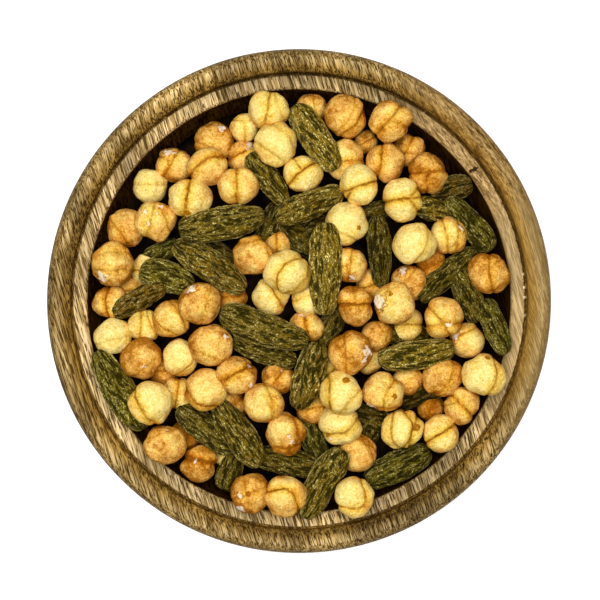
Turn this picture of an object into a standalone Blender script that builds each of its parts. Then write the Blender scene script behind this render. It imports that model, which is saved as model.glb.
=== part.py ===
"""A turned wooden bowl heaped with roasted chickpeas and green raisins.

Metres, +Z up. The origin is the middle of the bowl's flat base. The heap is one solid: a core that fills
the bowl up to just under the showing pieces, with every chickpea and raisin that shows fused on.
"""

import math

import bmesh
import bpy
import numpy as np
from mathutils import Matrix, Vector, noise

MM = 0.001

# Bowl
RIM_RADIUS = 60 * MM
RIM_HEIGHT = 45.5 * MM
BEAD_CROWN_RADIUS = 57.3 * MM
BEAD_DEPTH = 3.4 * MM
GROOVE_RADIUS = 54.0 * MM
GROOVE_WIDTH = 0.7 * MM
GROOVE_DEPTH = 0.6 * MM
LEDGE_HEIGHT = 43.6 * MM
LIP_RADIUS = 50.3 * MM
LIP_ROUND = 0.9 * MM
INSIDE_DEPTH = 35.5 * MM
NECK_RADIUS = 57.6 * MM
NECK_HEIGHT = 37.5 * MM
BASE_RADIUS = 31 * MM
BASE_ROUND = 1.5 * MM
BEAD_END_TURN = -60
BOWL_STEPS = 48
INSIDE_POINTS = 6
INSIDE_SPACING = 0.7
LIP_POINTS = 2
INNER_BEAD_POINTS = 3
OUTER_BEAD_POINTS = 6
BODY_POINTS = 6
WELD_DISTANCE = 0.01 * MM
WOOD_COLOUR = (0.42, 0.25, 0.10)
WOOD_ROUGHNESS = 0.45

# Heap
CLEARANCE = 0.35 * MM
DOME_HEIGHT = 51.5 * MM
DOME_EDGE_HEIGHT = 45.2 * MM
DOME_EDGE_RADIUS = 45 * MM
SLUMP_CENTRE = (-36 * MM, 27 * MM)
SLUMP_WIDTH = 11 * MM
SLUMP_DEPTH = 1.8 * MM
CORE_BELOW_DOME = 3.4 * MM
CORE_EDGE_DROP = 3.0 * MM
CORE_EDGE_POWER = 6
CORE_TOP_BAND = 0.5 * MM
CORE_STEPS = 24
CORE_RINGS = 6
BITE = 1.5 * MM
JOIN_DEPTH = 1.2 * MM
PROP_RADIUS = 4.6 * MM
PROP_DROP = 6.0 * MM
PROP_INWARD = 0.92
PROBE_STEP = 0.1 * MM
SETTLE_SWEEPS = 80
SETTLE_LIFT = 0.35
SETTLE_DROP = 0.45
SETTLE_PULL = 0.04
TIE_BREAK = 1e-6 * MM
KEPT_FACES = 0.8
SHARP_ANGLE = 40
SNACK_COLOUR = (0.80, 0.52, 0.16)
SNACK_ROUGHNESS = 0.6
LAYER_DEPTH = {"T": 0.0, "MT": 1.2 * MM, "M": 2.6 * MM, "ML": 3.8 * MM}

# Chickpeas: how far each is turned for each millimetre of x, and the shares of its radius
SEED_TURN = 0.4
SEED_SIZE = 0.97
SEED_PINCH = 0.09
SEED_PINCH_WIDTH = 0.35
SEED_LUMPS = 0.05
SEED_LUMP_RATE = 1.3

# Raisins
RAISIN_SIZE = 0.97
RAISIN_LUMPS = 0.12
RAISIN_LUMP_RATE = 2
RAISIN_END = 0.05
RAISIN_FLATNESS = 0.8
RAISIN_BALLS = 5
RAISIN_REACH = 0.8
RAISIN_FULLNESS = 0.2
RAISIN_SIDES = 6
RAISIN_RINGS = 5

# Chickpeas that show, in millimetres: x, y, radius, direction of the groove in degrees, layer
CHICKPEAS = [
    (-33.9, 19.05, 5.0, 60, "T"), (-44.2, 8.7, 5.3, 0, "T"), (-25.7, 24.45, 5.2, 88, "T"),
    (-5.33, 37.0, 5.35, 20, "T"), (-14.5, 27.1, 4.9, 90, "T"), (11.05, 43.7, 5.3, 120, "T"),
    (21.6, 42.4, 5.2, 75, "T"), (14.3, 27.4, 4.9, 18, "T"), (24.4, 24.0, 5.2, 5, "T"),
    (27.2, 13.5, 5.15, 150, "T"), (44.9, 6.4, 5.1, 80, "T"), (22.5, -0.7, 5.2, 100, "T"),
    (34.2, -3.9, 5.15, 60, "T"), (43.9, -17.5, 5.3, 160, "T"), (24.5, -30.45, 5.1, 80, "T"),
    (19.9, -21.6, 5.0, 95, "T"), (9.8, -22.0, 5.35, 30, "T"), (13.2, -46.2, 4.95, 20, "T"),
    (-3.1, -46.1, 5.1, 0, "T"), (-3.1, -31.35, 5.1, 70, "T"), (-8.3, -24.05, 5.0, 140, "T"),
    (-22.05, -21.1, 5.2, 50, "T"), (-20.8, -10.5, 5.35, 110, "T"), (-35.2, -24.2, 5.4, 110, "T"),
    (-37.4, -13.7, 5.15, 35, "T"), (-23.4, -0.55, 5.2, 70, "T"), (13.2, -1.1, 4.8, 0, "T"),
    (12.1, -12.1, 5.3, 130, "T"), (-2.7, 6.5, 5.55, 60, "T"),
    (-21.7, 31.9, 4.8, 32, "MT"), (-7.0, 45.2, 5.0, 70, "MT"), (-10.7, 10.8, 4.95, 40, "MT"),
    (20.5, 32.9, 4.8, 80, "MT"), (0.8, 30.0, 4.8, 40, "MT"), (11.2, 18.25, 5.35, 170, "MT"),
    (30.4, 30.2, 5.0, 25, "MT"), (34.05, -18.0, 4.9, 60, "MT"), (33.7, -31.35, 4.6, 25, "MT"),
    (9.7, -29.3, 5.2, 110, "MT"), (-11.5, -45.4, 4.9, 80, "MT"), (-14.6, -17.5, 4.8, 30, "MT"),
    (-44.3, -8.4, 4.6, 15, "MT"), (-30.15, -4.3, 4.75, 60, "MT"), (-31.7, -33.9, 5.0, 40, "MT"),
    (-23.65, -38.75, 4.6, -10, "MT"),
    (-35.6, 27.3, 4.3, 0, "M"), (-41.1, 17.3, 4.9, 60, "M"), (-20.15, 37.9, 4.9, 45, "M"),
    (11.1, 33.5, 5.0, 10, "M"), (12.1, 8.5, 4.2, 80, "M"), (35.5, 15.6, 4.6, 80, "M"),
    (39.9, -9.4, 4.35, 30, "M"), (13.9, -35.95, 4.75, 60, "M"), (-5.1, -18.3, 4.1, -60, "M"),
    (-28.1, -13.6, 4.6, 20, "M"), (-44.9, -0.25, 4.3, 90, "M"), (-36.7, -5.95, 4.0, 80, "M"),
    (-6.5, 1.35, 4.65, 120, "M"),
    (-29.7, 32.4, 4.6, 45, "ML"), (-13.0, 34.3, 4.2, 20, "ML"), (-13.0, 41.3, 3.6, 80, "ML"),
    (2.86, 45.6, 4.0, 100, "ML"), (26.3, 4.05, 4.6, 50, "ML"), (38.6, -24.75, 4.6, -45, "ML"),
    (25.8, -18.8, 3.7, 0, "ML"), (-28.6, -22.1, 4.1, 70, "ML"), (1.9, 0.4, 4.0, 20, "ML"),
    (1.75, -6.1, 4.1, 60, "ML"), (18.25, -8.2, 3.9, 90, "ML"), (26.3, 35.9, 4.0, 30, "ML"),
]

# Raisins that show, in millimetres: x, y, length, width, direction in degrees, layer
RAISINS = [
    (-18.25, 18.4, 20.6, 8.0, 10, "T"), (3.8, 38.7, 18.3, 7.4, -57, "T"), (6.2, 7.55, 21.9, 8.0, 89, "T"),
    (-8.25, -6.4, 22.0, 8.0, -19, "T"), (-14.3, -31.5, 18.4, 7.7, -55, "T"),
    (5.55, -43.1, 18.7, 7.6, 60.6, "T"), (27.7, -12.6, 18.4, 6.9, 8.5, "T"),
    (2.2, -17.7, 16.5, 7.5, 72, "MT"), (2.4, 22.7, 17.0, 7.0, 22, "MT"),
    (-21.1, 8.2, 20.2, 7.5, -33.5, "MT"), (-37.9, 0.4, 14.0, 5.5, 29, "MT"),
    (-8.25, -11.8, 16.0, 6.5, -20, "M"), (-7.3, 28.9, 15.0, 6.0, -54, "M"), (-31.3, 5.6, 13.5, 7.5, -17, "M"),
    (-21.7, -30.4, 17.5, 7.5, -35, "M"), (40.6, 18.4, 16.5, 6.5, -50, "M"), (19.0, 11.7, 17.0, 5.6, 93, "M"),
    (35.2, 6.3, 18.0, 5.8, 41, "M"), (40.1, 1.2, 13.5, 6.3, -66, "M"),
    (-42.5, -21.2, 21.7, 7.5, -59, "ML"), (-2.85, -38.3, 16.0, 7.0, -12, "ML"),
    (-16.35, -40.55, 9.5, 6.0, 70, "ML"), (23.6, -39.3, 17.0, 7.5, 26, "ML"),
    (31.7, 21.6, 10.0, 6.0, -18, "ML"), (46.4, -6.1, 14.0, 6.0, -68, "ML"), (36.1, 26.7, 10.0, 6.0, 15, "ML"),
]


def arc(centre, radii, start, end, count):
    """Points of an ellipse's arc in (radius, height), from start to end in degrees, ends included."""
    turns = [math.radians(start + (end - start) * k / count) for k in range(count + 1)]
    return [(centre[0] + radii[0] * math.cos(t), centre[1] + radii[1] * math.sin(t)) for t in turns]


def inside_profile(offset=0.0):
    """The bowl's hollow from the middle of its floor up to the lip, moved into the hollow by offset."""
    points = []
    for k in range(INSIDE_POINTS + 1):
        turn = math.pi / 2 * (k / INSIDE_POINTS) ** INSIDE_SPACING
        across = (LIP_RADIUS - offset) * math.sin(turn)
        down = (INSIDE_DEPTH - offset) * math.cos(turn)
        points.append((across, LEDGE_HEIGHT - LIP_ROUND - down))
    return points


def upper_profile():
    """From the middle of the hollow's floor up to the lip, over the ledge, the groove and the bead."""
    lip_middle = (LIP_RADIUS + LIP_ROUND, LEDGE_HEIGHT - LIP_ROUND)
    lip = arc(lip_middle, (LIP_ROUND, LIP_ROUND), 180, 90, LIP_POINTS)[1:]
    groove = [
        (GROOVE_RADIUS - GROOVE_WIDTH / 2, LEDGE_HEIGHT),
        (GROOVE_RADIUS, LEDGE_HEIGHT - GROOVE_DEPTH),
    ]
    foot = LEDGE_HEIGHT + GROOVE_DEPTH / 2
    inner_radii = (BEAD_CROWN_RADIUS - GROOVE_RADIUS - GROOVE_WIDTH / 2, RIM_HEIGHT - foot)
    inner_half = arc((BEAD_CROWN_RADIUS, foot), inner_radii, 180, 90, INNER_BEAD_POINTS)
    outer_radii = (RIM_RADIUS - BEAD_CROWN_RADIUS, BEAD_DEPTH)
    outer_middle = (BEAD_CROWN_RADIUS, RIM_HEIGHT - BEAD_DEPTH)
    outer_half = arc(outer_middle, outer_radii, 90, BEAD_END_TURN, OUTER_BEAD_POINTS)[1:]
    return inside_profile() + lip + groove + inner_half + outer_half


def outer_profile():
    """Down the outer side from the neck under the bead to the middle of the base."""
    body = []
    for k in range(BODY_POINTS):
        turn = math.pi / 2 * k / BODY_POINTS
        across = BASE_RADIUS + (NECK_RADIUS - BASE_RADIUS) * math.cos(turn)
        body.append((across, BASE_ROUND + (NECK_HEIGHT - BASE_ROUND) * (1 - math.sin(turn))))
    return body + [(BASE_RADIUS, BASE_ROUND), (BASE_RADIUS - BASE_ROUND, 0.0), (0.0, 0.0)]


def dome(x, y):
    """Height of the middles of the topmost pieces over the point x, y."""
    away = math.hypot(x, y) / DOME_EDGE_RADIUS
    slump = math.hypot(x - SLUMP_CENTRE[0], y - SLUMP_CENTRE[1]) / SLUMP_WIDTH
    return DOME_HEIGHT - (DOME_HEIGHT - DOME_EDGE_HEIGHT) * away**2 - SLUMP_DEPTH * math.exp(-(slump**2))


def core_top(x, y):
    away = math.hypot(x, y) / LIP_RADIUS
    return dome(x, y) - CORE_BELOW_DOME - CORE_EDGE_DROP * away**CORE_EDGE_POWER


def lowest_clear(across, radius):
    """Lowest height at which a ball whose middle is across from the axis stays clear of the bowl."""
    wall = np.array(upper_profile())
    starts = wall[:-1]
    runs = wall[1:] - starts
    height = RIM_HEIGHT + radius
    while height > LEDGE_HEIGHT - INSIDE_DEPTH / 2:
        middle = np.array((across, height - PROBE_STEP))
        along = np.clip(((middle - starts) * runs).sum(1) / (runs**2).sum(1), 0, 1)
        gaps = np.linalg.norm(middle - starts - along[:, None] * runs, axis=1)
        if gaps.min() < radius + CLEARANCE:
            break
        height -= PROBE_STEP
    return height


def layout():
    """Every piece as balls: a chickpea is one, a raisin a row of them that taper to its ends."""
    balls = []
    for number, (x, y, radius, groove, layer) in enumerate(CHICKPEAS):
        balls.append((number, 0.0, x * MM, y * MM, radius * MM, layer))
    for number, (x, y, length, width, turn, layer) in enumerate(RAISINS):
        turn = math.radians(turn)
        for k in range(RAISIN_BALLS):
            t = RAISIN_REACH * (2 * k / (RAISIN_BALLS - 1) - 1)
            along = t * length / 2
            radius = width * MM / 2 * RAISIN_FLATNESS * (1 - t * t) ** (0.5 - RAISIN_FULLNESS)
            place = ((x + along * math.cos(turn)) * MM, (y + along * math.sin(turn)) * MM)
            balls.append((len(CHICKPEAS) + number, t, *place, radius, layer))
    return balls


def settle(balls):
    """Heights of the balls: each near its layer, pushed apart where two would share a space.

    Only heights move, so every piece keeps its place in plan. A raisin bends no more than a parabola.
    """
    piece = np.array([b[0] for b in balls])
    t = np.array([b[1] for b in balls])
    place = np.array([b[2:4] for b in balls])
    radius = np.array([b[4] for b in balls])
    wanted = np.array([dome(b[2], b[3]) - LAYER_DEPTH[b[5]] for b in balls])
    widest = np.where(piece < len(CHICKPEAS), radius, radius / RAISIN_FLATNESS)
    floor = np.array([lowest_clear(math.hypot(*xy), wide) for xy, wide in zip(place, widest)])
    apart = np.linalg.norm(place[:, None] - place[None], axis=2)
    reach = radius[:, None] + radius[None] - BITE
    meets = (apart < reach) & (piece[:, None] != piece[None])
    need = np.where(meets, np.sqrt(np.maximum(reach**2 - apart**2, 0)), 0)
    rank = wanted + TIE_BREAK * piece
    above = rank[:, None] > rank[None]
    height = wanted.copy()
    for sweep in range(SETTLE_SWEEPS):
        gap = height[:, None] - height[None]
        short = np.where(meets, need - np.where(above, gap, -gap), 0)
        short = np.maximum(short, 0)
        up = (short * above).max(1)
        down = (short * ~above).max(1)
        height += SETTLE_LIFT * up - SETTLE_DROP * down + SETTLE_PULL * (wanted - height)
        height = np.maximum(height, floor)
        for number in range(len(CHICKPEAS), piece.max() + 1):
            row = piece == number
            height[row] = np.polyval(np.polyfit(t[row], height[row], 2), t[row])
            height[row] += max((floor[row] - height[row]).max(), 0)
    return height


def held_pieces(balls, heights):
    """The pieces joined to the core, whether sunk in it or fused to one that is."""
    sunk = [heights[k] - ball[4] < core_top(ball[2], ball[3]) - JOIN_DEPTH for k, ball in enumerate(balls)]
    held = {ball[0] for ball, is_sunk in zip(balls, sunk) if is_sunk}
    middles = [Vector((*ball[2:4], height)) for ball, height in zip(balls, heights)]
    grows = True
    while grows:
        grows = False
        for one, a in zip(balls, middles):
            if one[0] in held:
                continue
            for other, b in zip(balls, middles):
                if other[0] in held and (a - b).length < one[4] + other[4] - JOIN_DEPTH:
                    held.add(one[0])
                    grows = True
                    break
    return held


def add_object(name, mesh, collection):
    thing = bpy.data.objects.new(name, mesh)
    collection.objects.link(thing)
    return thing


def finish_bmesh(bm, name):
    bmesh.ops.recalc_face_normals(bm, faces=bm.faces)
    mesh = bpy.data.meshes.new(name)
    bm.to_mesh(mesh)
    bm.free()
    return mesh


def chickpea_mesh(name, x, y, z, radius, groove):
    """A round seed, pinched along a groove that runs over its top, never wider than radius."""
    bm = bmesh.new()
    start = Matrix.Rotation(SEED_TURN * x / MM, 4, "Z")
    bmesh.ops.create_icosphere(bm, subdivisions=2, radius=1, matrix=start)
    side = Vector((-math.sin(math.radians(groove)), math.cos(math.radians(groove)), 0))
    for vert in bm.verts:
        out = vert.co.normalized()
        pinch = SEED_PINCH * math.exp(-((out.dot(side) / SEED_PINCH_WIDTH) ** 2)) * max(out.z, 0)
        lump = SEED_LUMPS * abs(noise.noise(out * SEED_LUMP_RATE + Vector((x, y, 0)) / MM))
        vert.co = Vector((x, y, z)) + out * radius * (SEED_SIZE - pinch - lump)
    return finish_bmesh(bm, name)


def raisin_mesh(name, row, heights, width):
    """A spindle along a row of balls, with a flattened, slightly lumpy section."""
    t = np.array([b[1] for b in row])
    ends = Vector(row[0][2:4]), Vector(row[-1][2:4])
    bend = np.polyfit(t, heights, 2)
    across = (ends[1] - ends[0]).normalized()
    side = Vector((-across.y, across.x, 0))
    up = Vector((0, 0, 1))
    bm = bmesh.new()
    lying = Matrix.Rotation(math.pi / 2, 4, "Y")
    bmesh.ops.create_uvsphere(bm, u_segments=RAISIN_SIDES, v_segments=RAISIN_RINGS, radius=1, matrix=lying)
    for vert in bm.verts:
        s, a, b = vert.co
        middle = (ends[0] + ends[1]) / 2 + (ends[1] - ends[0]) * s / (2 * RAISIN_REACH)
        lump = RAISIN_LUMPS * abs(noise.noise(vert.co * RAISIN_LUMP_RATE + Vector((*ends[0], 0)) / MM))
        flat = width / 2 * RAISIN_SIZE * (1 - lump) * max(1 - s * s, RAISIN_END) ** -RAISIN_FULLNESS
        spine = Vector((middle.x, middle.y, float(np.polyval(bend, s))))
        vert.co = spine + side * a * flat + up * b * flat * RAISIN_FLATNESS
    return finish_bmesh(bm, name)


def ball_mesh(name, place, radius):
    bm = bmesh.new()
    bmesh.ops.create_icosphere(bm, subdivisions=2, radius=radius, matrix=Matrix.Translation(place))
    return finish_bmesh(bm, name)


def turned(name, profile, steps, collection):
    """Revolves a (radius, height) profile about the Z axis."""
    mesh = bpy.data.meshes.new(name)
    mesh.from_pydata([(r, 0, z) for r, z in profile], [(k, k + 1) for k in range(len(profile) - 1)], [])
    thing = add_object(name, mesh, collection)
    screw = thing.modifiers.new("Turn", "SCREW")
    screw.steps = steps
    screw.render_steps = steps
    screw.use_merge_vertices = True
    screw.merge_threshold = WELD_DISTANCE
    screw.use_smooth_shade = True
    return thing


def applied(thing):
    """Puts the evaluated mesh in the object's place and drops its modifiers."""
    bpy.context.view_layer.update()
    evaluated = thing.evaluated_get(bpy.context.evaluated_depsgraph_get())
    mesh = bpy.data.meshes.new_from_object(evaluated)
    thing.modifiers.clear()
    thing.data = mesh
    return mesh


def make_core(collection):
    """Fills the hollow up to just under the showing pieces."""
    profile = [p for p in inside_profile(CLEARANCE) if p[1] < core_top(p[0], 0) - CLEARANCE]
    edge = profile[-1][0]
    top = [(edge * (1 - k / CORE_RINGS), DOME_HEIGHT) for k in range(CORE_RINGS + 1)]
    core = turned("core", list(reversed(top)) + list(reversed(profile)), CORE_STEPS, collection)
    mesh = applied(core)
    for vert in mesh.vertices:
        if vert.co.z > DOME_HEIGHT - CORE_TOP_BAND:
            vert.co.z = core_top(vert.co.x, vert.co.y)
    return core


def keep_largest_shell(bm):
    """Drops loose scraps and the skins of sealed hollows, so that one solid body is left."""
    left = set(bm.verts)
    shells = []
    while left:
        shell = set()
        front = [left.pop()]
        while front:
            vert = front.pop()
            shell.add(vert)
            for edge in vert.link_edges:
                other = edge.other_vert(vert)
                if other in left:
                    left.discard(other)
                    front.append(other)
        shells.append(shell)
    shells.sort(key=len)
    for shell in shells[:-1]:
        bmesh.ops.delete(bm, geom=list(shell), context="VERTS")


def drop_folded_faces(bm):
    """Drops each pair of faces on the same three corners, back to back with nothing between them."""
    first = {}
    folded = []
    for face in bm.faces:
        twin = first.setdefault(frozenset(face.verts), face)
        if twin is not face:
            folded += [twin, face]
    bmesh.ops.delete(bm, geom=folded, context="FACES")


def make_heap(collection):
    core = make_core(collection)
    pieces = bpy.data.collections.new("pieces_to_fuse")
    bpy.context.scene.collection.children.link(pieces)
    balls = layout()
    heights = settle(balls)
    for number, (x, y, radius, groove, layer) in enumerate(CHICKPEAS):
        mesh = chickpea_mesh("chickpea", x * MM, y * MM, heights[number], radius * MM, groove)
        add_object(f"chickpea_{number}", mesh, pieces)
    for number, raisin in enumerate(RAISINS):
        first = len(CHICKPEAS) + number * RAISIN_BALLS
        span = slice(first, first + RAISIN_BALLS)
        mesh = raisin_mesh("raisin", balls[span], heights[span], raisin[3] * MM)
        add_object(f"raisin_{number}", mesh, pieces)
    held = held_pieces(balls, heights)
    for number, (x, y, radius, groove, layer) in enumerate(CHICKPEAS):
        if number not in held:
            place = Vector((x * MM * PROP_INWARD, y * MM * PROP_INWARD, heights[number] - PROP_DROP))
            place.z = max(place.z, lowest_clear(place.xy.length, PROP_RADIUS))
            add_object(f"prop_{number}", ball_mesh("prop", place, PROP_RADIUS), pieces)
    union = core.modifiers.new("Fuse", "BOOLEAN")
    union.operation = "UNION"
    union.operand_type = "COLLECTION"
    union.collection = pieces
    union.solver = "EXACT"
    mesh = applied(core)
    for thing in list(pieces.objects):
        bpy.data.objects.remove(thing)
    bpy.data.collections.remove(pieces)
    bm = bmesh.new()
    bm.from_mesh(mesh)
    keep_largest_shell(bm)
    bmesh.ops.triangulate(bm, faces=bm.faces)
    drop_folded_faces(bm)
    bm.to_mesh(mesh)
    bm.free()
    slivers = core.modifiers.new("Drop slivers", "DECIMATE")
    slivers.ratio = KEPT_FACES
    slivers.use_collapse_triangulate = True
    mesh = applied(core)
    core.name = "chickpea_raisin_heap"
    mesh.name = "chickpea_raisin_heap"
    return core


def plain_material(name, colour, roughness):
    material = bpy.data.materials.new(name)
    material.use_nodes = True
    shader = material.node_tree.nodes["Principled BSDF"]
    shader.inputs["Base Color"].default_value = (*colour, 1)
    shader.inputs["Roughness"].default_value = roughness
    shader.inputs["Metallic"].default_value = 0.0
    material.diffuse_color = (*colour, 1)
    return material


def build():
    for thing in list(bpy.data.objects):
        bpy.data.objects.remove(thing)
    model = bpy.data.collections.new("bowl_of_trail_mix")
    bpy.context.scene.collection.children.link(model)
    bowl = turned("wooden_bowl", upper_profile() + outer_profile(), BOWL_STEPS, model)
    bowl.data.materials.append(plain_material("oiled_wood", WOOD_COLOUR, WOOD_ROUGHNESS))
    heap = make_heap(model)
    heap.data.materials.clear()
    heap.data.materials.append(plain_material("roasted_snack", SNACK_COLOUR, SNACK_ROUGHNESS))
    heap.data.shade_smooth()
    heap.data.set_sharp_from_angle(angle=math.radians(SHARP_ANGLE))


build()
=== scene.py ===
# A turned wooden bowl heaped with roasted chickpeas and green raisins, seen from straight above
import math

import bmesh
import bpy
import numpy as np
from mathutils import Matrix, Vector


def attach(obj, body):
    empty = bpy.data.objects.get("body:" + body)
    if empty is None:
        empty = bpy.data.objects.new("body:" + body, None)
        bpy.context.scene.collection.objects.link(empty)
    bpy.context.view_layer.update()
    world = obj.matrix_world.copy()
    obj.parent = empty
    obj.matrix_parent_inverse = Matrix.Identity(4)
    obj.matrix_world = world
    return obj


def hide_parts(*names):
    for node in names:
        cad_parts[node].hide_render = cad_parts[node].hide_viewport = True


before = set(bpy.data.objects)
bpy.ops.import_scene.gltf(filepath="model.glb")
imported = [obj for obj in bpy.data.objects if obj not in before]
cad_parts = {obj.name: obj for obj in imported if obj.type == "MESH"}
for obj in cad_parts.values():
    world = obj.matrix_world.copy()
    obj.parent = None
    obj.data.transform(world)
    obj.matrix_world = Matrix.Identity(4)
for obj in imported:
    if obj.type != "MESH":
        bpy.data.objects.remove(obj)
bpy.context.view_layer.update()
print("frame loaded")

mm = 0.001
weldDistance = 0.005 * mm

# The bowl, in the same sizes as its solid
bowlShape = {
    "rimRadius": 60 * mm,
    "rimHeight": 45.5 * mm,
    "crownRadius": 57.3 * mm,      # top of the round bead
    "beadDepth": 3.4 * mm,
    "grooveRadius": 54.0 * mm,
    "grooveWidth": 0.7 * mm,
    "grooveDepth": 0.6 * mm,
    "ledgeHeight": 43.6 * mm,
    "lipRadius": 50.3 * mm,
    "lipRound": 0.9 * mm,
    "insideDepth": 35.5 * mm,
    "neckRadius": 57.6 * mm,
    "neckHeight": 37.5 * mm,
    "baseRadius": 31 * mm,
    "baseRound": 1.5 * mm,
    "turnSteps": 360,
}

# How the pieces lie: their middles follow a low dome, each layer a little deeper
heapShape = {
    "domeHeight": 51.5 * mm,
    "domeEdgeHeight": 45.2 * mm,
    "domeEdgeRadius": 45 * mm,
    "slumpCentre": (-36 * mm, 27 * mm),
    "slumpWidth": 11 * mm,
    "slumpDepth": 1.8 * mm,
    "bite": 1.5 * mm,
    "clearance": 0.35 * mm,
    "sweeps": 80,
    "lift": 0.35,
    "drop": 0.45,
    "pull": 0.04,
    "tuck": 0.9,
    "tieBreak": 1e-6 * mm,
    "probe": 0.1 * mm,
    "layers": {"T": 0.0, "MT": 1.2 * mm, "M": 2.6 * mm, "ML": 3.8 * mm, "L": 6.2 * mm},
}

# How roasted a chickpea is and how dark a raisin, as they look in the photo
# the darkest chickpea tone, used only deep in the heap, is partly painted shade
cream, pale, golden, toasted, brown, scorchAndShade = 0.0, 0.2, 0.45, 0.65, 0.8, 1.05
lightSkin, oliveSkin, darkSkin, darkestSkin = -0.2, 0.2, 0.5, 0.75


def edgeMark(turn, size, out=0.8):
    # a floury mark near the edge of a chickpea, in this direction
    turn = math.radians(turn)
    return ("white", out * math.cos(turn), out * math.sin(turn), size)


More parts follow.
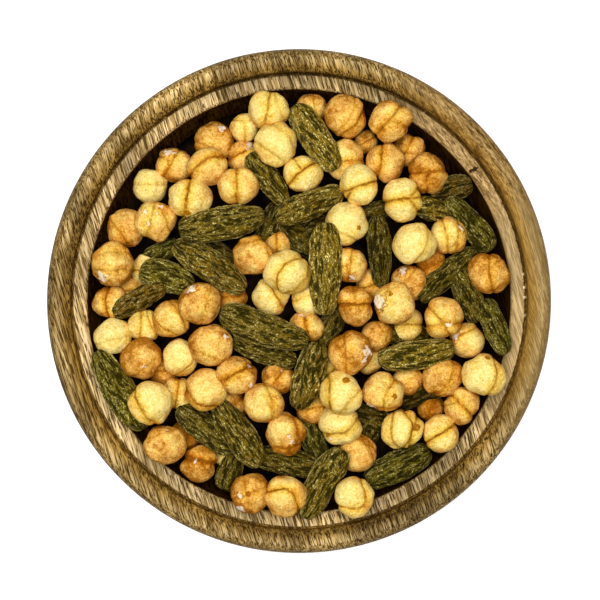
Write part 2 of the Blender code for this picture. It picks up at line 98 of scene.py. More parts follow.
# Chickpeas: x, y, radius in mm, layer, tone,
# then each groove's direction, shift to its left in radii, strength, and where it has them the side of the
# first that it keeps to and its bend, then the floury and scorched marks with their x, y and size in radii
chickpeaPlaces = [
    (-33.9, 19.05, 5.0, "T", golden, [(75, 0.25, 0.5), (110, -0.55, 0.5)], edgeMark(70, 0.16),
     ("white", -0.5, 0.45, 0.12), ("white", 0.1, 0.35, 0.08), ("white", -0.35, -0.2, 0.07)),
    (-44.2, 8.7, 5.3, "T", toasted, [(10, 0.55, 0.45, 0, 0.3), (0, -0.3, 0.4)], edgeMark(232, 0.3)),
    (-25.7, 24.45, 5.2, "T", pale, [(80, 0.15, 1)], ("brown", -0.1, -0.75, 0.14)),
    (-5.33, 37.0, 5.35, "T", pale, [(-35, -0.5, 0.35), (-45, 0.6, 0.4, 0, 0.2)]),
    (-14.5, 27.1, 4.9, "T", golden, [(90, 0.05, 0.8)], ("brown", 0, 0.65, 0.07)),
    (11.05, 43.7, 5.3, "T", brown, [(50, -0.55, 0.8, 0, -0.3), (60, -0.15, 0.4, 0, -0.3)]),
    (21.6, 42.4, 5.2, "T", toasted, [(50, 0.1, 0.8), (160, 0, 0.6, -1)]),
    (14.3, 27.4, 4.9, "T", cream, [(18, -0.1, 1), (75, 0.45, 0.9, -1)]),
    (24.4, 24.0, 5.2, "T", cream, [(8, -0.03, 1), (55, -0.33, 0.9, 1), (-55, 0.33, 0.9, -1)]),
    (27.2, 13.5, 5.15, "T", cream, [(70, -0.5, 0.45, 0, -0.35)]),
    (44.9, 6.4, 5.1, "T", brown, [(95, -0.05, 0.8, 0, 0.15), (30, 0.3, 0.6, -1)]),
    (22.5, -0.7, 5.2, "T", golden, [(70, 0.55, 0.4)], edgeMark(175, 0.38), ("brown", -0.2, 0.5, 0.1)),
    (34.2, -3.9, 5.15, "T", golden, [(-52, -0.3, 0.7), (5, -0.38, 0.8)], ("white", 0.22, -0.38, 0.14)),
    (43.9, -17.5, 5.3, "T", pale, [(80, -0.45, 0.7, 0, -0.3)], ("brown", 0.1, 0.85, 0.12)),
    (24.5, -30.45, 5.1, "T", cream,
     [(100, 0.52, 0.6, 0, 0.35), (88, -0.37, 1, 0, -0.5), (77, -0.56, 0.9, -1)], ("brown", 0.75, 0.12, 0.15)),
    (19.9, -21.6, 5.0, "T", golden, [(70, -0.22, 0.6, 0, 0.25), (5, -0.8, 0.7, 0, -0.2)],
     ("white", -0.6, -0.72, 0.26), ("brown", 0.52, -0.15, 0.12)),
    (9.8, -22.0, 5.35, "T", cream, [(90, 0.57, 0.8), (50, -0.55, 0.4)], ("brown", 0.24, 0.68, 0.16)),
    (13.2, -46.2, 4.95, "T", pale, [(50, -0.3, 0.7, 0, -1.15)]),
    (-3.1, -46.1, 5.1, "T", golden, [(150, -0.17, 1, 0, -0.85)]),
    (-3.1, -31.35, 5.1, "T", toasted, [(5, -0.68, 0.8, 0, -0.2), (111, -0.69, 0.6)],
     ("white", 0.12, -0.08, 0.1), ("white", 0.33, -0.37, 0.14), ("brown", 0.18, -0.68, 0.12)),
    (-8.3, -24.05, 5.0, "T", golden, [(100, -0.4, 0.6, 0, -0.3)]),
    (-22.05, -21.1, 5.2, "T", golden, [(150, 0.64, 0.7, 0, 0.44), (163, -0.22, 0.5, 1)]),
    (-20.8, -10.5, 5.35, "T", toasted, [(160, 0.5, 0.3)], edgeMark(30, 0.14)),
    (-35.2, -24.2, 5.4, "T", pale, [(120, 0.42, 0.9, 0, 0.27), (120, -0.28, 0.5, 1)]),
    (-37.4, -13.7, 5.15, "T", brown, [(35, -0.5, 0.25)], ("white", 0.17, -0.38, 0.1)),
    (-23.4, -0.55, 5.2, "T", toasted, [(75, -0.35, 0.35)], edgeMark(122, 0.3)),
    (13.2, -1.1, 4.8, "T", brown, [(2, 0.08, 1.1), (95, 0, 0.5, 1)]),
    (12.1, -12.1, 5.3, "T", brown, [(95, 0.28, 0.6)], edgeMark(5, 0.24), edgeMark(-28, 0.16)),
    (-2.7, 6.5, 5.55, "T", cream, [(55, 0.22, 0.8, 0, 0.55), (50, -0.72, 0.6, 0, -0.4)]),
    (-21.7, 31.9, 4.8, "MT", golden, [(30, 0.25, 0.9, 0, 0.35)]),
    (-7.0, 45.2, 5.0, "MT", pale, [(80, 0.1, 0.7), (110, -0.55, 0.4)]),
    (-10.7, 10.8, 4.95, "MT", toasted, [(10, 0.78, 0.6), (-80, 0.75, 0.4)]),
    (20.5, 32.9, 4.8, "MT", toasted, [(80, 0.3, 0.9)]),
    (0.8, 30.0, 4.8, "MT", pale, [(40, 0.1, 1, 0, 0.15), (125, -0.1, 0.7, 1)]),
    (11.2, 18.25, 5.35, "MT", cream, [(-25, -0.55, 0.4)], ("brown", 0.6, -0.2, 0.12)),
    (30.4, 30.2, 5.0, "MT", brown, [(5, 0.05, 0.8), (88, 0, 0.8, -1)]),
    (34.05, -18.0, 4.9, "MT", toasted, [(60, -0.3, 0.7, 0, -0.4)]),
    (33.7, -31.35, 4.6, "MT", pale, [(32, 0.03, 1)]),
    (9.7, -29.3, 5.2, "MT", cream, [(22, -0.3, 0.7, 0, -0.4)],
     ("white", -0.5, -0.68, 0.09), ("brown", -0.62, -0.54, 0.12)),
    (-11.5, -45.4, 4.9, "MT", brown, [(100, 0.2, 0.5), (20, 0, 0.4)],
     ("white", -0.52, -0.1, 0.18), ("white", -0.5, -0.75, 0.22), ("brown", -0.1, 0, 0.13)),
    (-14.6, -17.5, 4.8, "MT", toasted, [(28, 0.12, 1)],
     ("white", 0.71, 0.53, 0.14), ("white", 0.68, -0.47, 0.11)),
    (-44.3, -8.4, 4.6, "MT", cream, [(15, -0.2, 0.25)]),
    (-30.15, -4.3, 4.75, "MT", golden, [(-60, 0.5, 0.6, 0, 0.25), (-40, -0.6, 0.5, 0, -0.3)]),
    (-31.7, -33.9, 5.0, "MT", toasted, [(20, 0.6, 0.3)], ("white", 0.1, 0.8, 0.07)),
    (-23.65, -38.75, 4.6, "MT", brown, [(-13, 0.27, 1.3, 0, 0.1)], ("white", -0.24, 0.19, 0.16)),
    (-35.6, 27.3, 4.3, "M", cream, [(0, 0.1, 0.3)]),
    (-41.1, 17.3, 4.9, "M", toasted, [(-55, -0.4, 0.5)]),
    (-20.15, 37.9, 4.9, "M", brown, [(150, 0.45, 0.4)], edgeMark(60, 0.22)),
    (11.1, 33.5, 5.0, "M", golden, [(5, -0.1, 0.7)]),
    (12.1, 8.5, 4.2, "M", toasted, [(80, 0, 0.6), (10, 0, 0.5, 1)], edgeMark(280, 0.2)),
    (35.5, 15.6, 4.6, "M", golden, [(100, 0.2, 0.6), (85, -0.5, 0.6)], edgeMark(30, 0.22)),
    (39.9, -9.4, 4.35, "M", golden, [(25, 0.5, 0.6)], edgeMark(160, 0.3)),
    (13.9, -35.95, 4.75, "M", toasted, [(145, -0.51, 0.4, 0, -0.75)], ("white", -0.54, -0.21, 0.19)),
    (-5.1, -18.3, 4.1, "M", brown, [(55, 0, 0.8)], ("white", 0.27, 0.49, 0.09)),
    (-28.1, -13.6, 4.6, "M", pale, [(45, -0.6, 0.5, 0, -0.3)]),
    (-44.9, -0.25, 4.3, "M", toasted, [(90, 0.2, 1, 0, 0.3)]),
    (-36.7, -5.95, 4.0, "M", pale, [(88, 0.2, 0.8), (110, -0.5, 0.5)]),
    (-6.5, 1.35, 4.65, "M", pale, [(120, -0.25, 0.7)]),
    (-29.7, 32.4, 4.6, "ML", toasted, [(60, 0.2, 0.8), (150, 0, 0.6, 1)], edgeMark(110, 0.3)),
    (-13.0, 34.3, 4.2, "ML", toasted, [(28, 0.3, 0.9)], edgeMark(65, 0.3)),
    (-13.0, 41.3, 3.6, "ML", pale, [(0, 0.5, 0.5), (95, 0, 0.5, -1)]),
    (2.86, 45.6, 4.0, "ML", toasted, [(100, -0.3, 0.5)]),
    (26.3, 4.05, 4.6, "ML", brown, [(50, 0.3, 0.4)], edgeMark(120, 0.25)),
    (38.6, -24.75, 4.6, "ML", toasted, [(-44, 0, 0.9), (18, 0.31, 0.5, -1)]),
    (25.8, -18.8, 3.7, "ML", toasted, [(40, -0.1, 0.3)]),
    (-28.6, -22.1, 4.1, "ML", golden, [(80, 0.1, 0.7)]),
    (1.9, 0.4, 4.0, "ML", pale, [(20, 0.2, 0.4)]),
    (1.75, -6.1, 4.1, "ML", toasted, [(100, 0, 1)], edgeMark(110, 0.2)),
    (18.25, -8.2, 3.9, "ML", toasted, [(-60, 0.5, 0.4)]),
    (26.3, 35.9, 4.0, "ML", brown, [(60, 0.2, 0.8)]),
]

# Chickpeas that only show through the gaps: x, y, radius in mm, tone, direction of the groove
# the darkest of these tones is partly painted shade, as these lie deep in the heap
deepChickpeas = [
    (-36.0, 7.3, 4.2, pale, 0), (15.9, 37.8, 3.0, brown, 30), (25.6, -5.6, 4.2, golden, 0),
    (31.5, -25.6, 3.4, scorchAndShade, 60), (-16.0, 1.2, 4.0, brown, 10), (-5.3, 13.2, 3.6, brown, 90),
    (17.5, 3.8, 4.0, brown, 20), (16.5, -13.5, 4.0, golden, 50), (2.85, -25.5, 4.0, toasted, 10),
    (8.4, -16.1, 4.2, golden, 40), (-32.2, -16.6, 4.0, scorchAndShade, 0), (-16.0, -24.6, 4.0, brown, 30),
    (-17.3, -35.9, 3.8, pale, 0), (-26.6, -31.6, 4.0, scorchAndShade, 80), (31.5, 8.5, 4.2, scorchAndShade, 20),
    (-40.1, 2.4, 4.0, toasted, 0),
]
deepGroove = 0.8
deepChickpeaPlaces = [
    (x, y, radius, "L", tone, [(turn, 0, deepGroove)]) for x, y, radius, tone, turn in deepChickpeas
]

# Raisins: x, y, length, width in mm, direction, layer, tone, hue (0 brown to 1 green)
raisinPlaces = [
    (-18.25, 18.4, 20.6, 8.0, 10, "T", oliveSkin, 0.5), (3.8, 38.7, 18.3, 7.4, -57, "T", lightSkin, 0.4),
    (6.2, 7.55, 21.9, 8.0, 89, "T", lightSkin, 0.4), (-8.25, -6.4, 22.0, 8.0, -19, "T", oliveSkin, 0.5),
    (-14.3, -31.5, 18.4, 7.7, -55, "T", oliveSkin, 0.5), (5.55, -43.1, 18.7, 7.6, 60.6, "T", oliveSkin, 0.5),
    (27.7, -12.6, 18.4, 6.9, 8.5, "T", lightSkin, 0.5),
    (2.2, -17.7, 16.5, 7.5, 72, "MT", oliveSkin, 0.3), (2.4, 22.7, 17.0, 7.0, 22, "MT", oliveSkin, 0.4),
    (-21.1, 8.2, 20.2, 7.5, -33.5, "MT", oliveSkin, 0.3), (-37.9, 0.4, 14.0, 5.5, 29, "MT", darkSkin, 0.05),
    (-8.25, -11.8, 16.0, 6.5, -20, "M", darkSkin, 0.5), (-7.3, 28.9, 15.0, 6.0, -54, "M", oliveSkin, 0.5),
    (-31.3, 5.6, 13.5, 7.5, -17, "M", oliveSkin, 0.8), (-21.7, -30.4, 17.5, 7.5, -35, "M", darkSkin, 0.6),
    (40.6, 18.4, 16.5, 6.5, -50, "M", darkSkin, 0.9), (19.0, 11.7, 17.0, 5.6, 93, "M", darkestSkin, 0.6),
    (35.2, 6.3, 18.0, 5.8, 41, "M", darkestSkin, 0.6), (40.1, 1.2, 13.5, 6.3, -66, "M", darkSkin, 0.6),
    (-42.5, -21.2, 21.7, 7.5, -59, "ML", oliveSkin, 0.9), (-2.85, -38.3, 16.0, 7.0, -12, "ML", darkSkin, 0.5),
    (-16.35, -40.55, 9.5, 6.0, 70, "ML", darkSkin, 0.5), (23.6, -39.3, 17.0, 7.5, 26, "ML", darkSkin, 0.9),
    (31.7, 21.6, 10.0, 6.0, -18, "ML", oliveSkin, 0.4), (46.4, -6.1, 14.0, 6.0, -68, "ML", darkSkin, 0.9),
    (36.1, 26.7, 10.0, 6.0, 15, "ML", darkestSkin, 0.1),
]
# Raisins that only show through the gaps, mostly in the darkest tones: partly painted shade deep in the heap
deepRaisinPlaces = [
    (3.8, -33.9, 14.0, 6.0, -64, "L", darkSkin, 0.9), (-6.7, 17.8, 12.0, 6.5, 70, "L", darkestSkin, 0.5),
    (0.3, 15.2, 14.0, 7.0, -40, "L", darkestSkin, 0.5), (3.5, 17.2, 10.0, 5.0, 30, "L", darkestSkin, 0.5),
    (-33.2, 11.35, 10.5, 5.5, 30, "L", darkSkin, 0.9), (-18.9, 11.7, 12.0, 5.0, -35, "L", darkestSkin, 0.5),
    (25.6, -8.0, 13.0, 6.0, -10, "L", darkestSkin, 0.4), (28.2, -22.5, 13.0, 6.0, 18, "L", darkestSkin, 0.1),
    (7.0, -6.75, 12.0, 6.0, 60, "L", darkestSkin, 0.5), (16.8, -27.9, 14.0, 6.0, -20, "L", darkestSkin, 0.4),
    (17.1, -31.0, 12.0, 5.0, 70, "L", darkestSkin, 0.4), (18.0, 21.0, 9.0, 5.0, 20, "L", darkestSkin, 0.4),
]
raisinShape = {"flatness": 0.8, "fullness": 0.2, "balls": 5, "reach": 0.8}


def arcPoints(centre, radii, start, end, count):
    turns = [math.radians(start + (end - start) * k / count) for k in range(count + 1)]
    return [(centre[0] + radii[0] * math.cos(t), centre[1] + radii[1] * math.sin(t)) for t in turns]


def bowlProfile(insidePoints=28, beadPoints=12, bodyPoints=24):
    b = bowlShape
    ledge, lip, middle = b["ledgeHeight"], b["lipRound"], b["grooveRadius"]
    inside = []
    for k in range(insidePoints + 1):
        turn = math.pi / 2 * (k / insidePoints) ** 0.7
        down = b["insideDepth"] * math.cos(turn)
        inside.append((b["lipRadius"] * math.sin(turn), ledge - lip - down))
    lipCentre = (b["lipRadius"] + lip, ledge - lip)
    lipPoints = arcPoints(lipCentre, (lip, lip), 180, 90, 6)[1:]
    half = b["grooveWidth"] / 2
    groove = [
        (middle - half * 1.3, ledge),
        (middle - half, ledge - b["grooveDepth"] * 0.25),
        (middle - half * 0.3, ledge - b["grooveDepth"]),
        (middle + half * 0.3, ledge - b["grooveDepth"] * 0.9),
    ]
    foot = ledge + b["grooveDepth"] / 2
    innerRadii = (b["crownRadius"] - middle - half, b["rimHeight"] - foot)
    inner = arcPoints((b["crownRadius"], foot), innerRadii, 180, 90, beadPoints)
    outerRadii = (b["rimRadius"] - b["crownRadius"], b["beadDepth"])
    outerCentre = (b["crownRadius"], b["rimHeight"] - b["beadDepth"])
    outer = arcPoints(outerCentre, outerRadii, 90, -60, beadPoints)[1:]
    body = []
    for k in range(bodyPoints):
        turn = math.pi / 2 * k / bodyPoints
        across = b["baseRadius"] + (b["neckRadius"] - b["baseRadius"]) * math.cos(turn)
        body.append((across, b["baseRound"] + (b["neckHeight"] - b["baseRound"]) * (1 - math.sin(turn))))
    base = [(b["baseRadius"], b["baseRound"]), (b["baseRadius"] - b["baseRound"], 0.0), (0.0, 0.0)]
    return inside + lipPoints + groove + inner + outer + body + base


def domeAt(x, y):
    h = heapShape
    away = math.hypot(x, y) / h["domeEdgeRadius"]
    slump = math.hypot(x - h["slumpCentre"][0], y - h["slumpCentre"][1]) / h["slumpWidth"]
    drop = (h["domeHeight"] - h["domeEdgeHeight"]) * away**2
    return h["domeHeight"] - drop - h["slumpDepth"] * math.exp(-(slump**2))


coarseProfile = np.array([p for p in bowlProfile(6, 5, 6)][:-9])


def lowestClear(across, radius):
    # lowest height at which a ball at this distance from the axis stays clear of the bowl
    starts = coarseProfile[:-1]
    runs = coarseProfile[1:] - starts
    probe = heapShape["probe"]
    height = bowlShape["rimHeight"] + radius
    while height > bowlShape["ledgeHeight"] - bowlShape["insideDepth"] / 2:
        middle = np.array((across, height - probe))
        along = np.clip(((middle - starts) * runs).sum(1) / (runs**2).sum(1), 0, 1)
        gaps = np.linalg.norm(middle - starts - along[:, None] * runs, axis=1)
        if gaps.min() < radius + heapShape["clearance"]:
            break
        height -= probe
    return height


def ballsOf(chickpeas, raisins):
    # a chickpea is one ball, a raisin a row of them that taper to its ends
    balls = []
    for number, place in enumerate(chickpeas):
        balls.append((number, 0.0, place[0] * mm, place[1] * mm, place[2] * mm, place[3]))
    for number, (x, y, length, width, turn, layer, tone, hue) in enumerate(raisins):
        turn = math.radians(turn)
        for k in range(raisinShape["balls"]):
            t = raisinShape["reach"] * (2 * k / (raisinShape["balls"] - 1) - 1)
            along = t * length / 2
            radius = width * mm / 2 * raisinShape["flatness"] * (1 - t * t) ** (0.5 - raisinShape["fullness"])
            spot = ((x + along * math.cos(turn)) * mm, (y + along * math.sin(turn)) * mm)
            balls.append((len(chickpeas) + number, t, *spot, radius, layer))
    return balls


def settleHeap(balls, firstRaisin):
    # heights near each layer, pushed apart where two pieces would share a space
    h = heapShape
    piece = np.array([b[0] for b in balls])
    t = np.array([b[1] for b in balls])
    place = np.array([b[2:4] for b in balls])
    radius = np.array([b[4] for b in balls])
    wanted = np.array([domeAt(b[2], b[3]) - h["layers"][b[5]] for b in balls])
    widest = np.where(piece < firstRaisin, radius, radius / raisinShape["flatness"])
    floor = np.array([lowestClear(math.hypot(*xy), wide) for xy, wide in zip(place, widest)])
    apart = np.linalg.norm(place[:, None] - place[None], axis=2)
    reach = radius[:, None] + radius[None] - h["bite"]
    meets = (apart < reach) & (piece[:, None] != piece[None])
    need = np.where(meets, np.sqrt(np.maximum(reach**2 - apart**2, 0)), 0)
    rank = wanted + h["tieBreak"] * piece
    above = rank[:, None] > rank[None]
    height = wanted.copy()
    for sweep in range(h["sweeps"]):
        gap = height[:, None] - height[None]
        short = np.maximum(np.where(meets, need - np.where(above, gap, -gap), 0), 0)
        up = (short * above).max(1)
        down = (short * ~above).max(1)
        height += h["lift"] * up - h["drop"] * down + h["pull"] * (wanted - height)
        height = np.maximum(height, floor)
        for number in range(firstRaisin, piece.max() + 1):
            row = piece == number
            height[row] = np.polyval(np.polyfit(t[row], height[row], 2), t[row])
            height[row] += max((floor[row] - height[row]).max(), 0)
    return height


def deepHeights(balls, upper, upperHeights):
    # a piece in a gap hangs as high as those over it allow, and no higher than its layer
    heights = []
    for ball in balls:
        height = domeAt(ball[2], ball[3]) - heapShape["layers"]["L"]
        for other, otherHeight in zip(upper, upperHeights):
            apart = math.hypot(ball[2] - other[2], ball[3] - other[3])
            reach = ball[4] + other[4] - heapShape["bite"]
            if apart < reach:
                height = min(height, otherHeight - heapShape["tuck"] * math.sqrt(reach**2 - apart**2))
        heights.append(max(height, lowestClear(math.hypot(ball[2], ball[3]), ball[4])))
    return np.array(heights)


balls = ballsOf(chickpeaPlaces, raisinPlaces)
heights = settleHeap(balls, len(chickpeaPlaces))
deepBalls = ballsOf(deepChickpeaPlaces, deepRaisinPlaces)
deepHeight = deepHeights(deepBalls, balls, heights)
print("heap settled")


def latticeNoise(points, salt=0):
    # smooth noise, about -1 to 1, at each row of points
    cell = np.floor(points).astype(np.int64)
    part = points - cell
    fade = part**3 * (part * (part * 6 - 15) + 10)
    total = np.zeros(len(points))
    for corner in range(8):
        step = np.array((corner & 1, corner >> 1 & 1, corner >> 2))
        spot = cell + step
        mixed = spot[:, 0] * 73856093 ^ spot[:, 1] * 19349663 ^ spot[:, 2] * 83492791 ^ salt * 15485863
        mixed = (mixed ^ mixed >> 15) * 2246822519 & 0xFFFFFFFF
        mixed = (mixed ^ mixed >> 13) * 3266489917 & 0xFFFFFFFF
        mixed ^= mixed >> 16
        slope = np.stack([(mixed >> shift & 1023) / 511.5 - 1 for shift in (0, 10, 20)], axis=1)
        total += np.where(step, fade, 1 - fade).prod(1) * ((part - step) * slope).sum(1)
    return total * 1.5


def drift(points, salt):
    # noise in each of the three directions, for bending a pattern
    return np.stack([latticeNoise(points + 7.3 * k, salt + k) for k in range(3)], axis=1)


def eased(low, high, value):
    t = np.clip((value - low) / (high - low), 0, 1)
    return t * t * (3 - 2 * t)


def bell(value, width):
    return np.exp(-((value / width) ** 2))


def meshFrom(bm, name):
    mesh = bpy.data.meshes.new(name)
    bm.to_mesh(mesh)
    bm.free()
    return mesh


def turnedShape(profile, steps):
    # a round shape from a profile of radius and height
    bm = bmesh.new()
    verts = [bm.verts.new((r, 0, z)) for r, z in profile]
    edges = [bm.edges.new(pair) for pair in zip(verts[:-1], verts[1:])]
    bmesh.ops.spin(
        bm, geom=verts + edges, cent=(0, 0, 0), axis=(0, 0, 1), angle=math.tau, steps=steps, use_merge=True
    )
    bmesh.ops.remove_doubles(bm, verts=bm.verts, dist=weldDistance)
    return bm


def addFact(mesh, name, values):
    # what a finish reads on every point
    kind, slot = ("FLOAT", "value") if values.ndim == 1 else ("FLOAT_VECTOR", "vector")
    mesh.attributes.new(name, kind, "POINT").data.foreach_set(slot, values.astype(np.float32).ravel())


def addObject(name, data):
    thing = bpy.data.objects.new(name, data)
    bpy.context.scene.collection.objects.link(thing)
    return thing


def joinShapes(name, ball, shapes, facts):
    # many spheres in one mesh, each moved onto its own surface
    bm = bmesh.new()
    for shape in shapes:
        bm.from_mesh(ball)
    mesh = meshFrom(bm, name)
    mesh.vertices.foreach_set("co", np.concatenate([s[0] for s in shapes]).astype(np.float32).ravel())
    for number, fact in enumerate(facts, 1):
        addFact(mesh, fact, np.concatenate([s[number] for s in shapes]))
    mesh.update()
    mesh.shade_smooth()
    piece = addObject(name, mesh)
    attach(piece, "root")
    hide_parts("chickpea_raisin_heap")
    print(name, len(shapes))
    return piece


# A roasted chickpea: a round seed in two or three lobes, with flattened patches, folds and a beak
chickpeaShape = {
    "valley": 0.075,
    "valleyWidth": 0.30,
    "crease": 0.050,
    "creaseWidth": 0.075,
    "step": 0.035,
    "stepWidth": 0.08,
    "stepReach": 0.5,
    "paintedGrooveShade": 0.72,
    "paintedGrooveShadeWidth": 0.24,
    "facets": 16,
    "facetShare": 0.27,
    "lumps": 0.10,
    "paintedEdgeShade": 0.46,
    "stretch": 0.07,
    "markRagged": 0.75,
    "folds": 0.038,
    "fineFolds": 0.010,
    "beak": 0.10,
    "beakWidth": 0.035,
    "fineness": 5,
    "deepFineness": 4,
}


def chickpeaBall(fineness):
    bm = bmesh.new()
    bmesh.ops.create_icosphere(bm, subdivisions=fineness, radius=1)
    return meshFrom(bm, "ball")


def chickpeaSurface(out, place, height, salt):
    x, y, radius, layer, tone, grooves, *marks = place
    s = chickpeaShape
    dice = np.random.default_rng(salt)
    shift = dice.uniform(-50, 50, 3)
    rough = 0.55 + 0.6 * tone
    wobble = 0.05 * latticeNoise(out * 1.8 + shift, salt)
    warped = out + 0.12 * drift(out * 2.0 + shift, salt)
    longWay = math.radians(dice.uniform(0, 180))
    lengthwise = out @ np.array((math.cos(longWay), math.sin(longWay), 0))
    size = 1 + s["stretch"] * (lengthwise**2 - 0.3) + s["lumps"] * latticeNoise(out * 1.3 + shift, salt + 1)
    crease = np.zeros(len(out))
    first = np.zeros(len(out))
    lines = np.ones((len(out), 3))
    depths = np.zeros((len(out), 3))
    topness = eased(-0.85, -0.3, out[:, 2])
    for number, groove in enumerate(grooves):
        direction, offset, strength, side, bend = (*groove, 0, 0)[:5]
        turn = math.radians(direction)
        along = out @ np.array((math.cos(turn), math.sin(turn), 0))
        across = out @ np.array((-math.sin(turn), math.cos(turn), 0))
        v = across - offset + bend * (along**2 - 0.3) + wobble
        keep = topness if side == 0 else topness * eased(0.0, 0.15, first * side)
        if number == 0:
            first = v
        lines[:, number] = v + np.where(v < 0, -0.5, 0.5) * (1 - keep)
        depths[:, number] = strength
        line = bell(v, s["creaseWidth"]) * keep
        valley = bell(v, s["valleyWidth"]) * keep
        size -= strength * (s["valley"] * valley + s["crease"] * line)
        step = np.tanh(v / s["stepWidth"]) * bell(v, s["stepReach"]) * keep
        size += strength * s["step"] * step * dice.choice((-1, 1))
        # painted shade: a wide darker band along each groove, strongest at its bottom
        crease = np.maximum(crease, s["paintedGrooveShade"] * strength * bell(v, s["paintedGrooveShadeWidth"]) * keep)
    faces = dice.normal(size=(s["facets"], 3))
    faces /= np.linalg.norm(faces, axis=1)[:, None]
    facet = (dice.uniform(0.9, 1.0, s["facets"]) / np.maximum(warped @ faces.T, 0.2)).min(1)
    size *= 1 - s["facetShare"] + s["facetShare"] * np.minimum(facet, 1.12)
    beakTurn = dice.uniform(0, math.tau)
    beak = np.array((math.cos(beakTurn), math.sin(beakTurn), dice.uniform(-0.2, 0.5)))
    size += s["beak"] * np.exp(-(1 - out @ (beak / np.linalg.norm(beak))) / s["beakWidth"])
    patches = eased(-0.25, 0.25, latticeNoise(out * 1.7 - shift, salt + 2))
    folds = bell(latticeNoise(warped * 2.6 + shift, salt + 3), 0.07) * patches
    fineFolds = bell(latticeNoise(warped * 5.2 - shift, salt + 4), 0.10)
    size -= rough * (s["folds"] * folds + s["fineFolds"] * fineFolds)
    # painted shade in the folds, darker where they cut deeper
    crease = crease + rough * (0.45 * folds + 0.10 * fineFolds)
    size /= np.percentile(size, 90)
    chipped = np.zeros(len(out))
    rag = latticeNoise(out * 6 + shift, salt + 5) + 0.8 * latticeNoise(out * 14 + shift, salt + 6)
    for kind, across, along, reach in marks:
        spot = np.array((across, along, math.sqrt(max(1 - across**2 - along**2, 0.02))))
        away = np.linalg.norm(out - spot, axis=1) / reach
        if kind == "white":
            away += s["markRagged"] * rag
            inside = eased(0.95, 0.75, away)
            chipped = np.maximum(chipped, inside * (0.75 + 0.5 * latticeNoise(out * 9 + shift, salt + 8)))
            size += inside * (0.01 + 0.05 * latticeNoise(out * 8 - shift, salt + 7))
            crease = np.maximum(crease * (1 - inside), 0.9 * eased(1.5, 1.1, away) * eased(0.75, 0.95, away))
        else:
            away += 0.2 * rag
            inside = eased(1.25, 1.0, away)
            size += 0.02 * inside
            crease = np.maximum(crease, inside * (0.86 + 0.5 * eased(0.4, 0.9, away)))
    points = np.array((x * mm, y * mm, height)) + out * (radius * mm * np.minimum(size, 1.05))[:, None]
    blush = dice.normal(size=3) * np.array((1, 1, 0.4))
    # painted light and shade: each chickpea paler on top and darker towards its sides, where it curves away
    # from the light
    edge = s["paintedEdgeShade"] * (1 - 0.5 * tone) * (eased(0.97, 0.12, out[:, 2]) - 0.36)
    tones = tone + 0.10 * out @ (blush / np.linalg.norm(blush)) + edge
    return points, np.clip(crease, 0, 1.3), tones, chipped, lines, depths


# A green raisin: a flattened spindle, bent over what it lies on, in wandering lengthwise wrinkles
raisinSkin = {
    "sides": 72,
    "rings": 84,
    "deepSides": 36,
    "deepRings": 44,
    "foldRate": (0.11, 0.34, 0.34),       # along, across and through, in one mm
    "wrinkleRate": (0.30, 1.2, 1.2),
    "foldDepth": 0.42,       # mm
    "wrinkleDepth": 0.24,    # mm
    "thin": 0.80,
    "sway": 0.5,             # mm
}


def raisinBall(sides, rings):
    lying = Matrix.Rotation(math.pi / 2, 4, "Y")
    bm = bmesh.new()
    bmesh.ops.create_uvsphere(bm, u_segments=sides, v_segments=rings, radius=1, matrix=lying)
    return meshFrom(bm, "ball")


def raisinSurface(ball, place, row, rowHeights, salt):
    x, y, length, width, direction, layer, tone, hue = place
    s = raisinSkin
    dice = np.random.default_rng(salt)
    shift = dice.uniform(-50, 50, 3)
    q = np.clip(ball[:, 0], -1, 1)
    girth = np.sqrt(np.maximum(1 - q * q, 0))
    a, b = ball[:, 1] / np.maximum(girth, 1e-6), ball[:, 2] / np.maximum(girth, 1e-6)
    flat = np.stack([q * length / 2, a * width / 2, b * width / 2], axis=1)
    bent = flat + 0.9 * drift(flat * np.array((0.16, 0.3, 0.3)) + shift, salt)
    fold = latticeNoise(bent * np.array(s["foldRate"]) + shift, salt + 1)
    fold = np.clip(1 - 3.0 * np.abs(fold), 0, 1)
    wrinkle = latticeNoise(bent * np.array(s["wrinkleRate"]) - shift, salt + 2)
    wrinkle = np.clip(1 - 3.2 * np.abs(wrinkle), 0, 1)
    lift = s["foldDepth"] * (fold - 0.5) * width / 8 + s["wrinkleDepth"] * (wrinkle - 0.4)
    lift *= np.minimum(girth * 1.6, 1)
    blunt = girth ** (1 - 2 * raisinShape["fullness"])
    taper = 1 - dice.uniform(0.03, 0.14) * q * dice.choice((-1, 1))
    ends = np.stack([q * 1.5, 0 * q, 0 * q], axis=1)
    pinch = 1 + 0.09 * latticeNoise(ends + shift, salt + 3)
    across = width / 2 * blunt * taper * pinch * 0.96 + lift
    turn = math.radians(direction)
    sway = dice.uniform(-1, 1) * s["sway"]
    side = a * across + sway * (1 - q * q) - sway / 2
    px = x + q * length / 2 * math.cos(turn) - side * math.sin(turn)
    py = y + q * length / 2 * math.sin(turn) + side * math.cos(turn)
    pz = np.polyval(np.polyfit([ball[1] for ball in row], rowHeights, 2), q) + b * across * s["thin"] * mm
    # ridge is lighter on the wrinkle crests and near the outline, and edge runs along the outline: both carry
    # painted highlights
    ridge = np.clip(0.85 * wrinkle + 0.3 * fold - 0.1 + 0.25 * bell(b, 0.18), 0, 1)
    edge = bell(b, 0.14) * (b * girth < 0.6)
    tones, hues = np.full(len(q), tone), np.full(len(q), hue)
    return np.stack([px * mm, py * mm, pz], axis=1), ridge, tones, hues, edge, bent + shift


# Node helpers

def newFinish(name):
    finish = bpy.data.materials.new(name)
    finish.use_nodes = True
    tree = finish.node_tree
    shader = tree.nodes["Principled BSDF"]
    return finish, tree, shader


def treeOf(*values):
    return next(value.id_data for value in values if isinstance(value, bpy.types.NodeSocket))


